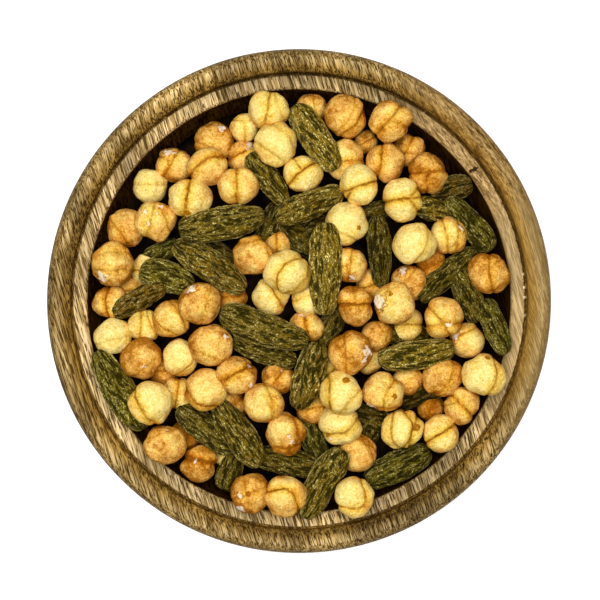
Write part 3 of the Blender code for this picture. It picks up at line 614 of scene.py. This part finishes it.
def feed(socket, value):
    # a link from another node, or a plain value
    if isinstance(value, bpy.types.NodeSocket):
        value.id_data.links.new(value, socket)
    elif socket.type == "RGBA" and isinstance(value, tuple):
        socket.default_value = (*value, 1)
    else:
        socket.default_value = value


def addNode(tree, kind, settings=None, **inputs):
    node = tree.nodes.new("ShaderNode" + kind)
    for key, value in (settings or {}).items():
        setattr(node, key, value)
    for key, value in inputs.items():
        feed(node.inputs[key.replace("_", " ")], value)
    return node


def objectPlace(tree, scale=(1, 1, 1), turn=0.0):
    place = addNode(tree, "TexCoord")
    turned = addNode(tree, "Mapping", Vector=place.outputs["Object"], Rotation=(0, 0, turn))
    return addNode(tree, "Mapping", Vector=turned.outputs[0], Scale=scale).outputs[0]


def vectorAttribute(tree, name):
    vector = addNode(tree, "Attribute", {"attribute_name": name}).outputs["Vector"]
    return addNode(tree, "SeparateXYZ", Vector=vector).outputs


def attribute(tree, name):
    return addNode(tree, "Attribute", {"attribute_name": name}).outputs["Fac"]


def ramp(factor, stops):
    node = addNode(treeOf(factor), "ValToRGB", Fac=factor)
    bar = node.color_ramp
    while len(bar.elements) < len(stops):
        bar.elements.new(0.5)
    for element, (place, colour) in zip(bar.elements, stops):
        element.position = place
        element.color = (*colour, 1) if isinstance(colour, tuple) else (colour, colour, colour, 1)
    return node.outputs["Color"]


def mixColour(kind, factor, first, second):
    node = addNode(treeOf(factor, first, second), "Mix", {"data_type": "RGBA", "blend_type": kind})
    for number, value in zip((0, 6, 7), (factor, first, second)):
        feed(node.inputs[number], value)
    return node.outputs[2]


def blend(factor, first, second):
    return mixColour("MIX", factor, first, second)


def tint(colour, shade, factor=1.0):
    return mixColour("MULTIPLY", factor, colour, shade)


def maths(kind, first, second=0.0, clamp=False):
    node = addNode(treeOf(first, second), "Math", {"operation": kind, "use_clamp": clamp})
    for socket, value in zip(node.inputs, (first, second)):
        feed(socket, value)
    return node.outputs[0]


def plus(first, second, clamp=False):
    return maths("ADD", first, second, clamp)


def minus(first, second):
    return maths("SUBTRACT", first, second)


def times(first, second, clamp=False):
    return maths("MULTIPLY", first, second, clamp)


def swing(noise, reach):
    # noise to both sides of nothing
    return times(minus(noise, 0.5), reach)


def thread(noise):
    # thin wandering lines where noise crosses its middle
    return maths("ABSOLUTE", minus(noise, 0.5))


def noiseAt(place, scale, detail=3.0, roughness=0.55, distortion=0.0):
    settings = {"Scale": scale, "Detail": detail, "Roughness": roughness, "Distortion": distortion}
    return addNode(treeOf(place), "TexNoise", Vector=place, **settings).outputs["Fac"]


def coatWith(shader, colour, roughness, shine):
    feed(shader.inputs["Base Color"], colour)
    shader.inputs["Roughness"].default_value = roughness
    shader.inputs["Specular IOR Level"].default_value = shine


def addBump(shader, height, strength, distance):
    bump = addNode(treeOf(height), "Bump", Height=height, Strength=strength, Distance=distance)
    feed(shader.inputs["Normal"], bump.outputs["Normal"])


# Dry roasted skin, cream to brown by the piece's tone, with painted shade in its creases and folds and
# painted light and shade from its top to its sides, white where floury
chickpeaFinish = {
    "tones": [
        (0.00, (0.93, 0.75, 0.290)),
        (0.28, (0.89, 0.675, 0.225)),
        (0.50, (0.84, 0.53, 0.152)),
        (0.75, (0.70, 0.37, 0.088)),
        (1.00, (0.39, 0.155, 0.011)),
    ],
    "shades": [
        (0.00, (1.0, 1.0, 1.0)),
        (0.35, (0.93, 0.83, 0.48)),
        (0.70, (0.76, 0.56, 0.17)),
        (1.00, (0.56, 0.32, 0.045)),
    ],
    "crease": (0.28, 0.095, 0.002),
    "floury": (0.84, 0.74, 0.57),
    "speck": (0.26, 0.11, 0.015),
    "roughness": 0.5,
}


def roastedSkin():
    f = chickpeaFinish
    finish, tree, shader = newFinish("roasted chickpea skin")
    place = objectPlace(tree)
    patches = swing(noiseAt(place, 260, 3, 0.5), 1.5)
    blush = swing(noiseAt(place, 700, 3, 0.6), 0.9)
    tone = plus(plus(attribute(tree, "tone"), patches), blush, True)
    colour = ramp(tone, f["tones"])
    # thin wandering cracks in the skin
    cracks = thread(noiseAt(place, 330, 2, 0.5, 0.7))
    cracks = ramp(cracks, [(0.0, 1), (0.018, 0)])
    fine = thread(noiseAt(place, 1000, 3, 0.6, 0.6))
    fine = ramp(fine, [(0.0, 1), (0.03, 0)])
    lines = plus(times(cracks, 0.36), times(fine, 0.22))
    crease = plus(attribute(tree, "crease"), lines, True)
    colour = tint(colour, ramp(crease, f["shades"]))
    # a thin dark line along the bottom of every groove, painted shade, broken here and there
    fray = swing(noiseAt(place, 1100, 3, 0.6), 0.16)
    faint = ramp(noiseAt(place, 420, 2, 0.5), [(0.36, 0.35), (0.56, 1)])
    seam = 0.0
    for v, depth in zip(vectorAttribute(tree, "groove_lines"), vectorAttribute(tree, "groove_depths")):
        level = maths("ABSOLUTE", plus(v, fray))
        thin = ramp(level, [(0.0, 1), (0.035, 0.9), (0.080, 0)])
        seam = maths("MAXIMUM", seam, times(thin, depth))
    seam = times(times(seam, faint), 0.95, True)
    colour = blend(seam, colour, f["crease"])
    # where the crease value is highest: the scorched marks, and painted shade deep in the strongest grooves
    scorchAndShade = ramp(attribute(tree, "crease"), [(0.72, 0), (1.0, 0.8)])
    colour = blend(scorchAndShade, colour, f["crease"])
    mottle = noiseAt(place, 1500, 3, 0.6)
    mottle = ramp(mottle, [(0.36, (0.88, 0.82, 0.55)), (0.52, 1.0), (0.70, 1.1)])
    colour = tint(colour, mottle)
    pitted = noiseAt(place, 3000, 3, 0.7)
    pitted = ramp(pitted, [(0.38, (0.74, 0.64, 0.36)), (0.50, 1.0), (0.62, 1.14)])
    byTone = ramp(tone, [(0.15, 0.30), (0.75, 1)])
    colour = tint(colour, pitted, byTone)
    specks = ramp(noiseAt(place, 1300, 2, 0.5), [(0.69, 0), (0.74, 1)])
    colour = blend(times(specks, 0.5), colour, f["speck"])
    dust = ramp(noiseAt(place, 900, 4, 0.65), [(0.69, 0), (0.75, 1)])
    floury = plus(attribute(tree, "chip"), times(dust, 0.3), True)
    colour = blend(floury, colour, f["floury"])
    coatWith(shader, colour, f["roughness"], 0.05)
    wrinkle = noiseAt(place, 850, 5, 0.65, 0.8)
    grain = noiseAt(place, 2600, 3, 0.6)
    height = plus(times(wrinkle, 0.9), times(grain, 0.45))
    height = minus(height, times(lines, 0.5))
    height = minus(height, times(seam, 0.7))
    addBump(shader, height, 0.75, 0.4 * mm)
    return finish


# Olive raisin skin: fine light broken lines along its ridges and outline, painted highlights, over dark folds
# that are partly painted shade
raisinFinish = {
    "fold": (0.026, 0.018, 0.0005),
    "brown": (0.175, 0.082, 0.002),
    "green": (0.118, 0.094, 0.002),
    "crest": (1.0, 0.86, 0.27),
    "foldStretch": (0.22, 1.0, 1.0),
    "lineSpacing": 1.15,       # lines across one mm of skin
    "lineStretch": 0.30,
    "roughness": 0.42,
}


def raisinSkinFinish():
    f = raisinFinish
    finish, tree, shader = newFinish("green raisin skin")
    skinPlace = addNode(tree, "Attribute", {"attribute_name": "skin_place"}).outputs["Vector"]

    def wanderingLines(finer, width, detail):
        spacing = f["lineSpacing"] * finer
        stretched = (f["lineStretch"] * finer, spacing, spacing)
        place = addNode(tree, "Mapping", Vector=skinPlace, Scale=stretched).outputs[0]
        level = thread(noiseAt(place, 1.0, detail, 0.55, 0.3))
        return ramp(level, [(0.0, 1), (0.15 * width, 1), (width, 0)]), place

    coarse = wanderingLines(1.35, 0.028, 2)[0]
    fine, finePlace = wanderingLines(3.4, 0.028, 2)
    breaks = ramp(noiseAt(skinPlace, 1.8, 2, 0.6), [(0.44, 0.05), (0.52, 1)])
    ridge = attribute(tree, "ridge")
    lengthwise = addNode(tree, "Mapping", Vector=skinPlace, Scale=f["foldStretch"]).outputs[0]
    blotch = swing(noiseAt(lengthwise, 1.0, 3, 0.6), 1.6)
    # dark where the ridge value is low: painted shade in the folds between wrinkles, mixed with blotches in
    # the skin
    level = plus(times(ridge, 0.95), blotch)
    body = blend(attribute(tree, "hue"), f["brown"], f["green"])
    colour = blend(ramp(level, [(0.05, 0), (0.50, 1)]), f["fold"], body)
    lines = plus(coarse, times(fine, 0.75), True)
    lines = times(lines, breaks)
    lines = times(lines, ramp(level, [(0.10, 0.15), (0.50, 1)]))
    # breaks in the painted highlight along the outline
    outlineHighlightBreaks = ramp(noiseAt(skinPlace, 0.7, 3, 0.6), [(0.40, 0), (0.60, 0.6)])
    lines = plus(lines, times(attribute(tree, "edge"), outlineHighlightBreaks), True)
    # the light lines are painted highlights on the wrinkle crests, with a broken painted highlight along the
    # outline
    colour = blend(lines, colour, f["crest"])
    dark = minus(1.25, times(attribute(tree, "tone"), 0.85))
    shade = addNode(tree, "CombineColor", Red=dark, Green=dark, Blue=dark).outputs[0]
    colour = tint(colour, shade)
    coatWith(shader, colour, f["roughness"], 0.015)
    raised = plus(times(coarse, 0.7), times(fine, 0.4))
    creases = plus(raised, noiseAt(finePlace, 1.3, 3, 0.6, 0.4))
    addBump(shader, creases, 0.9, 0.35 * mm)
    return finish


# Open-grained brown wood: straight grain that leans a little, darker in the groove and down the inside,
# partly stain and partly painted shade
woodFinish = {
    "grainTurn": math.radians(-107),
    "light": (0.72, 0.54, 0.285),
    "mid": (0.40, 0.27, 0.110),
    "dark": (0.14, 0.078, 0.012),
    "pore": (0.045, 0.021, 0.001),
    "joint": 3.8 * mm,             # where two planks meet, from the axis
    "plankWidth": 16 * mm,
    "plankShade": (0.76, 0.75, 0.78),
    "grooveLineRadius": 53.8 * mm,
    "grooveLineWidth": 0.32 * mm,
    "grooveLineStray": 1.3 * mm,
    "rimBottom": 40 * mm,
    "drawnOut": 0.12,
    "calm": (0.43, 0.295, 0.130),
    "curlTurn": math.radians(-128),
    "curlTint": (1.04, 0.93, 0.80),
    "crumb": (0.95, 0.90, 0.78),
    "knot": (0.030, 0.014, 0.003),
    "spotHeight": 43.4 * mm,
    # x, y and size in mm, and what it is
    "spots": [(41.7, 31.3, 0.75, "knot"), (40.9, 30.9, 0.55, "knot"), (53.8, 0.9, 0.45, "crumb"),
              (53.6, 3.2, 0.40, "crumb"), (53.4, 6.4, 0.42, "crumb"), (53.7, -3.4, 0.42, "crumb"),
              (29.9, 45.0, 0.40, "crumb")],
    "roughness": 0.55,
}


def woodPlace(tree, scale, turn):
    # below the rim the grain is drawn out downwards, as on a bowl cut from standing planks
    f = woodFinish
    x, y, z = addNode(tree, "SeparateXYZ", Vector=objectPlace(tree)).outputs
    below = maths("MINIMUM", minus(z, f["rimBottom"]), 0.0)
    height = minus(z, times(below, 1 - f["drawnOut"]))
    drawn = addNode(tree, "CombineXYZ", X=x, Y=y, Z=height).outputs[0]
    turned = addNode(tree, "Mapping", Vector=drawn, Rotation=(0, 0, turn)).outputs[0]
    return addNode(tree, "Mapping", Vector=turned, Scale=scale).outputs[0]


def woodNoise(tree, scale, turn, *settings):
    return noiseAt(woodPlace(tree, scale, turn), 1.0, *settings)


def oiledWood():
    f = woodFinish
    finish, tree, shader = newFinish("oiled open-grained wood")
    broad = woodNoise(tree, (14, 130, 80), f["grainTurn"], 3, 0.55, 0.4)
    streaks = woodNoise(tree, (85, 1400, 1050), f["grainTurn"], 4, 0.70, 0.2)
    colour = ramp(streaks, [(0.36, f["dark"]), (0.48, f["mid"]), (0.62, f["light"])])
    bands = ramp(broad, [(0.30, 0.60), (0.50, 0.98), (0.70, 1.2)])
    colour = tint(colour, bands)
    pores = woodNoise(tree, (280, 3700, 2900), f["grainTurn"], 1, 0.5)
    pores = ramp(pores, [(0.54, 0), (0.565, 1)])
    clouds = noiseAt(objectPlace(tree), 45, 3, 0.6, 0.3)
    clouds = ramp(clouds, [(0.36, 0.72), (0.52, 1.0), (0.68, 1.12)])
    colour = tint(colour, clouds)
    colour = blend(times(pores, 0.9), colour, f["pore"])
    # on one side the grain is calm, and beside that it curls: finer and warmer, with short streaks
    calm = times(attribute(tree, "calm"), 0.55)
    colour = blend(calm, colour, f["calm"])
    curl = attribute(tree, "curl")
    curly = woodNoise(tree, (300, 1500, 1500), f["curlTurn"], 4, 0.68, 0.9)
    curly = ramp(curly, [(0.38, f["dark"]), (0.48, f["mid"]), (0.60, f["light"])])
    flecks = woodNoise(tree, (900, 3000, 3000), f["curlTurn"], 2, 0.6, 0.4)
    flecks = ramp(flecks, [(0.36, 0.45), (0.50, 0.92), (0.64, 1.15)])
    curly = tint(tint(curly, flecks), f["curlTint"])
    colour = blend(times(curl, 0.85), colour, curly)
    colour = tint(colour, attribute(tree, "patch"))
    # a ragged dark line along the groove
    away = addNode(tree, "VectorMath", {"operation": "LENGTH"})
    feed(away.inputs[0], objectPlace(tree, (1, 1, 0)))
    strays = swing(noiseAt(objectPlace(tree), 1000, 3, 0.65), f["grooveLineStray"])
    off = minus(plus(away.outputs["Value"], strays), f["grooveLineRadius"])
    grooveLine = maths("DIVIDE", maths("ABSOLUTE", off), f["grooveLineWidth"])
    grooveLine = ramp(grooveLine, [(0.4, 1), (1.0, 0)])
    colour = blend(times(grooveLine, attribute(tree, "grooveLine")), colour, f["knot"])
    # a knot in the ledge and crumbs in the groove
    uneven = swing(noiseAt(objectPlace(tree), 1800, 2, 0.6), 1.6)
    for x, y, size, kind in f["spots"]:
        away = addNode(tree, "VectorMath", {"operation": "DISTANCE"})
        feed(away.inputs[0], objectPlace(tree))
        away.inputs[1].default_value = (x * mm, y * mm, f["spotHeight"])
        reach = plus(maths("DIVIDE", away.outputs["Value"], size * mm), uneven)
        spot = ramp(reach, [(0.75, 1), (1.0, 0)])
        colour = blend(spot, colour, f[kind])
    # the plank beside the joint is greyer and darker, and the joint is a thin dark line
    board = woodPlace(tree, (1, 1, 1), f["grainTurn"])
    across = addNode(tree, "SeparateXYZ", Vector=board).outputs["Y"]
    past = minus(f["joint"], across)
    ragged = swing(broad, 12 * mm)
    plank = maths("DIVIDE", plus(past, ragged), f["plankWidth"])
    plank = ramp(plank, [(0.0, 1), (0.6, 0.9), (1.0, 0)])
    plank = times(plank, maths("GREATER_THAN", past, 0.0))
    colour = tint(colour, f["plankShade"], plank)
    seam = maths("LESS_THAN", maths("ABSOLUTE", past), 0.16 * mm)
    colour = blend(times(seam, 0.85), colour, f["dark"])
    # the rim's stain with its painted shade, warmer as it darkens
    stainAndShade = attribute(tree, "stainAndShade")
    warm = maths("POWER", stainAndShade, 1.32)
    deep = maths("POWER", stainAndShade, 2.5)
    shade = addNode(tree, "CombineColor", Red=stainAndShade, Green=warm, Blue=deep).outputs[0]
    colour = tint(colour, shade)
    coatWith(shader, colour, f["roughness"], 0.04)
    height = minus(streaks, times(pores, 0.6))
    addBump(shader, height, 0.5, 0.25 * mm)
    return finish


skin = roastedSkin()
raisinCoat = raisinSkinFinish()
wood = oiledWood()
print("finishes made")


# How dark the rim is across its width, by distance from the axis in mm: partly stain in the wood, partly
# painted shade at the lip, in the groove, on the inner slope of the bead and at its outer edge
rimStainAndShade = [(50.0, 0.45), (50.6, 0.92), (51.6, 0.96), (52.4, 1.1), (53.3, 1.12), (53.7, 0.85), (53.95, 0.30),
            (54.2, 0.32), (54.6, 0.52), (55.4, 0.50), (56.4, 0.68), (57.0, 0.80), (57.8, 0.92), (58.6, 0.70),
            (59.3, 0.74), (60.0, 0.72)]
# down the inside the wood is painted dark: mostly painted shade inside the bowl, partly stain
insideShadeAndStain = 0.17
outsideStain = 0.82

# The rings of the rim: distance from the axis and half their width in mm
rimRings = {"ledge": (52, 1.8), "groove": (54, 0.6), "inner": (55.4, 1.1), "bead": (57.8, 1.6)}

# Lighter and darker patches on them, as they look in the photo: direction and half the span in degrees
muchLighter, lighter, darker, muchDarker = 0.45, 0.25, -0.25, -0.6
rimPatches = [
    ("ledge", 130, 20, muchLighter), ("ledge", 165, 20, lighter), ("ledge", 210, 12, muchLighter),
    ("ledge", 235, 18, darker), ("ledge", 270, 12, muchLighter), ("ledge", 310, 15, muchDarker),
    ("ledge", 60, 25, darker), ("groove", 85, 40, muchDarker), ("groove", 190, 20, muchLighter),
    ("groove", 270, 15, muchLighter), ("groove", 340, 20, muchLighter), ("inner", 10, 25, muchLighter),
    ("inner", 165, 12, darker), ("inner", 200, 22, muchLighter), ("inner", 295, 25, muchDarker),
    ("bead", 35, 22, darker), ("bead", 125, 15, muchLighter), ("bead", 190, 28, lighter),
    ("bead", 265, 12, lighter), ("bead", 305, 15, muchDarker),
]

# Where the grain curls, where it is calm and where the dark line in the groove is strongest: the directions
# in degrees at which each starts, is full, fades and ends
rimMarks = {
    "curl": (16, 34, 50, 72),
    "calm": (-40, -15, 22, 36),
    "grooveLine": (-32, -18, 30, 50),
    "leastGrooveLine": 0.30,
    "moreGrooveLine": 0.50,
    "edgeShade": 0.18,
    "sharpAngle": math.radians(50),
}


def roundRim(turn, span):
    start, full, fade, end = span
    return eased(start, full, turn) * eased(end, fade, turn)


def turnedBowl():
    b = bowlShape
    m = rimMarks
    bm = turnedShape(bowlProfile(), b["turnSteps"])
    bmesh.ops.recalc_face_normals(bm, faces=bm.faces)
    mesh = meshFrom(bm, "turned_bowl")
    mesh.shade_smooth()
    mesh.set_sharp_from_angle(angle=m["sharpAngle"])
    points = np.array([v.co for v in mesh.vertices])
    away = np.hypot(points[:, 0], points[:, 1])
    stainAndShade = np.interp(away / mm, [r for r, value in rimStainAndShade], [value for r, value in rimStainAndShade])
    down = np.sqrt(np.maximum(1 - (away / b["lipRadius"]) ** 2, 0))
    wall = b["ledgeHeight"] - b["lipRound"] - b["insideDepth"] * down
    inside = (away < b["lipRadius"] + 0.01 * mm) & (np.abs(points[:, 2] - wall) < 0.3 * mm)
    outside = (points[:, 2] < b["neckHeight"] + 2 * mm) & ~inside
    stainAndShade = np.where(inside, insideShadeAndStain, np.where(outside, outsideStain, stainAndShade))
    addFact(mesh, "stainAndShade", stainAndShade)
    turn = np.degrees(np.arctan2(points[:, 1], points[:, 0]))
    atRim = eased(34, 40, points[:, 2] / mm)
    addFact(mesh, "curl", roundRim(turn, m["curl"]) * atRim)
    patch = 1 - m["edgeShade"] * np.maximum(eased(58.7, 59.4, away / mm), outside)
    for ring, direction, span, change in rimPatches:
        across, reach = rimRings[ring]
        aside = (turn - direction + 180) % 360 - 180
        near = np.exp(-((aside / span) ** 2) - ((away / mm - across) / reach) ** 2)
        patch *= 1 + change * near * atRim
    addFact(mesh, "patch", patch)
    addFact(mesh, "calm", roundRim(turn, m["calm"]) * atRim)
    grooveLine = m["leastGrooveLine"] + m["moreGrooveLine"] * roundRim(turn, m["grooveLine"])
    addFact(mesh, "grooveLine", grooveLine * eased(40, 42, points[:, 2] / mm))
    mesh.materials.append(wood)
    bowl = addObject("turned_bowl", mesh)
    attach(bowl, "root")
    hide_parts("wooden_bowl")
    print("bowl turned")


turnedBowl()


# The chickpeas, by kind
def makeChickpeas(name, rows, fineness, firstSalt):
    ball = chickpeaBall(fineness)
    out = np.array([v.co for v in ball.vertices])
    shapes = [chickpeaSurface(out, place, height, firstSalt + 11 * number) for number, place, height in rows]
    piece = joinShapes(name, ball, shapes, ("crease", "tone", "chip", "groove_lines", "groove_depths"))
    piece.data.materials.append(skin)


peaRows = [(n, place, heights[n]) for n, place in enumerate(chickpeaPlaces)]
chickpeaKinds = {
    "cream_chickpeas": (cream, pale), "golden_chickpeas": (golden,), "toasted_chickpeas": (toasted, brown)
}
for name, tones in chickpeaKinds.items():
    alike = [row for row in peaRows if row[1][4] in tones]
    makeChickpeas(name, alike, chickpeaShape["fineness"], 100)
deepRows = [(n, place, deepHeight[n]) for n, place in enumerate(deepChickpeaPlaces)]
makeChickpeas("deep_chickpeas", deepRows, chickpeaShape["deepFineness"], 5000)


# The raisins, by tone
def makeRaisins(name, rows, sides, rings, firstSalt):
    ball = raisinBall(sides, rings)
    out = np.array([v.co for v in ball.vertices])
    shapes = [raisinSurface(out, place, row, spine, firstSalt + 13 * n) for n, place, row, spine in rows]
    piece = joinShapes(name, ball, shapes, ("ridge", "tone", "hue", "edge", "skin_place"))
    piece.data.materials.append(raisinCoat)


def raisinRows(places, allBalls, allHeights, first):
    rows = []
    for number, place in enumerate(places):
        start = first + number * raisinShape["balls"]
        span = slice(start, start + raisinShape["balls"])
        rows.append((number, place, allBalls[span], allHeights[span]))
    return rows


rows = raisinRows(raisinPlaces, balls, heights, len(chickpeaPlaces))
deepRows = raisinRows(deepRaisinPlaces, deepBalls, deepHeight, len(deepChickpeaPlaces))
raisinKinds = {"olive_raisins": (lightSkin, oliveSkin), "dark_raisins": (darkSkin, darkestSkin)}
for name, tones in raisinKinds.items():
    alike = [row for row in rows if row[1][6] in tones]
    makeRaisins(name, alike, raisinSkin["sides"], raisinSkin["rings"], 700)
makeRaisins("deep_raisins", deepRows, raisinSkin["deepSides"], raisinSkin["deepRings"], 2500)


# The hidden middle of the heap, near black: painted shade standing for the dark gaps between the pieces
heapCore = {
    "belowDome": 10 * mm,
    "edgeDrop": 3 * mm,
    "edgeGap": 2.2 * mm,
    "sideTop": 36 * mm,
    "sideDepth": 26 * mm,
    "sideSteps": 8,
    "steps": 64,
    "rings": 16,
    "bumps": 1.6 * mm,
    "bumpSize": 5 * mm,
    "dark": (0.004, 0.002, 0.0005),
    "light": (0.02, 0.010, 0.002),
}


def makeCore():
    c = heapCore
    top = heapShape["domeHeight"]
    edge = bowlShape["lipRadius"] - c["edgeGap"]
    profile = [(edge * k / c["rings"], top) for k in range(c["rings"] + 1)]
    for k in range(1, c["sideSteps"] + 1):
        turn = math.pi / 2 * k / c["sideSteps"]
        profile.append((edge * math.cos(turn), c["sideTop"] - c["sideDepth"] * math.sin(turn)))
    bm = turnedShape(profile, c["steps"])
    points = np.array([v.co for v in bm.verts])
    bumps = c["bumps"] * latticeNoise(points / c["bumpSize"], 9)
    for vert, bump in zip(bm.verts, bumps):
        if vert.co.z > top - 0.5 * mm:
            away = vert.co.xy.length / edge
            vert.co.z = domeAt(vert.co.x, vert.co.y) - c["belowDome"] - c["edgeDrop"] * away**6 + bump
    bmesh.ops.recalc_face_normals(bm, faces=bm.faces)
    mesh = meshFrom(bm, "heap_core")
    mesh.shade_smooth()
    finish, tree, shader = newFinish("shaded heap core")
    # near-black flecked colour: painted shade deep in the heap
    fleck = noiseAt(objectPlace(tree), 400, 3)
    coatWith(shader, ramp(fleck, [(0.4, c["dark"]), (0.65, c["light"])]), 0.85, 0.05)
    mesh.materials.append(finish)
    core = addObject("heap_core", mesh)
    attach(core, "root")
    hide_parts("chickpea_raisin_heap")
    print("core made")


makeCore()


# Floor, light and camera
studio = {
    "cameraHeight": 0.8,
    "viewWidth": 142.25 * mm,
    "photoWidth": 600,
    "bowlPixel": (299, 301),
    "sensor": 36.0,
    "floorReach": 1.5,
    "floorDrop": 0.1 * mm,
    "floorGlow": 0.36,      # a light table under the bowl
    "lampPlace": (-0.06, 0.08, 0.95),
    "lampSize": 0.95,
    "lampPower": 15.0,
    "lampAim": (0, 0, 0.045),
    "skyStrength": 0.13,
}


def makeFloor():
    bm = bmesh.new()
    bmesh.ops.create_grid(bm, x_segments=1, y_segments=1, size=studio["floorReach"])
    mesh = meshFrom(bm, "floor")
    floor = addObject("floor", mesh)
    floor.location.z = -studio["floorDrop"]
    finish, tree, shader = newFinish("pale floor")
    shader.inputs["Base Color"].default_value = (0.93, 0.93, 0.93, 1)
    shader.inputs["Roughness"].default_value = 0.8
    shader.inputs["Emission Color"].default_value = (1, 1, 1, 1)
    shader.inputs["Emission Strength"].default_value = studio["floorGlow"]
    mesh.materials.append(finish)


def makeLights():
    s = studio
    light = bpy.data.lights.new("overhead", "AREA")
    light.shape = "SQUARE"
    light.size = s["lampSize"]
    light.energy = s["lampPower"]
    lamp = addObject("overhead", light)
    lamp.location = s["lampPlace"]
    lamp.rotation_euler = (Vector(s["lampPlace"]) - Vector(s["lampAim"])).to_track_quat("Z", "Y").to_euler()
    world = bpy.data.worlds.new("studio")
    world.use_nodes = True
    sky = world.node_tree.nodes["Background"]
    sky.inputs["Color"].default_value = (1, 1, 1, 1)
    sky.inputs["Strength"].default_value = s["skyStrength"]
    bpy.context.scene.world = world
    bpy.context.scene.view_settings.view_transform = "Standard"


def makeCamera():
    s = studio
    camera = bpy.data.cameras.new("camera")
    camera.sensor_width = s["sensor"]
    camera.lens = s["sensor"] * s["cameraHeight"] / s["viewWidth"]
    camera.clip_start = 0.01
    eye = addObject("camera", camera)
    pixel = s["viewWidth"] / s["photoWidth"]
    half = s["photoWidth"] / 2
    across, down = s["bowlPixel"]
    height = bowlShape["rimHeight"] + s["cameraHeight"]
    eye.location = ((half - across) * pixel, (down - half) * pixel, height)
    bpy.context.scene.camera = eye


makeFloor()
makeLights()
makeCamera()
print("studio set")
